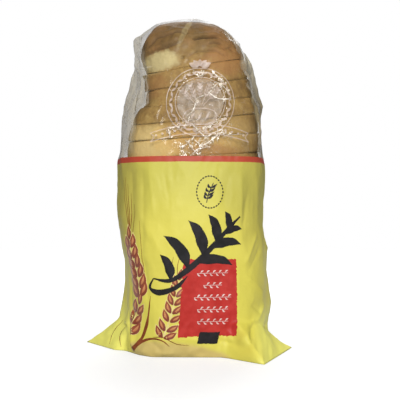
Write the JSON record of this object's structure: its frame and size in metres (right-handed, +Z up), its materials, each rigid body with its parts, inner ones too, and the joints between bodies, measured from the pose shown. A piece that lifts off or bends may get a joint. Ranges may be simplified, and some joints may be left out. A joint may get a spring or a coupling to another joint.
{
  "type": "sliced loaf in a bread bag",
  "caption": "Sliced loaf standing on end in a shut film bag, clear above and printed below, with ears at the foot and the mouth gathered behind and held by a flat clip.",
  "frame": {"origin": "middle of the whole's bounding box, on the floor", "axes": "+Z up along the loaf, -Y out of the printed front, +X to the right seen from the front"},
  "size_m": [0.1642, 0.1292, 0.2588],
  "materials": {
    "printed_film": "satin printed film",
    "clip_plastic": "matt"
  },
  "bodies": {
    "root": {"bag": "printed_film", "clip": "clip_plastic"}
  },
  "joints": []
}
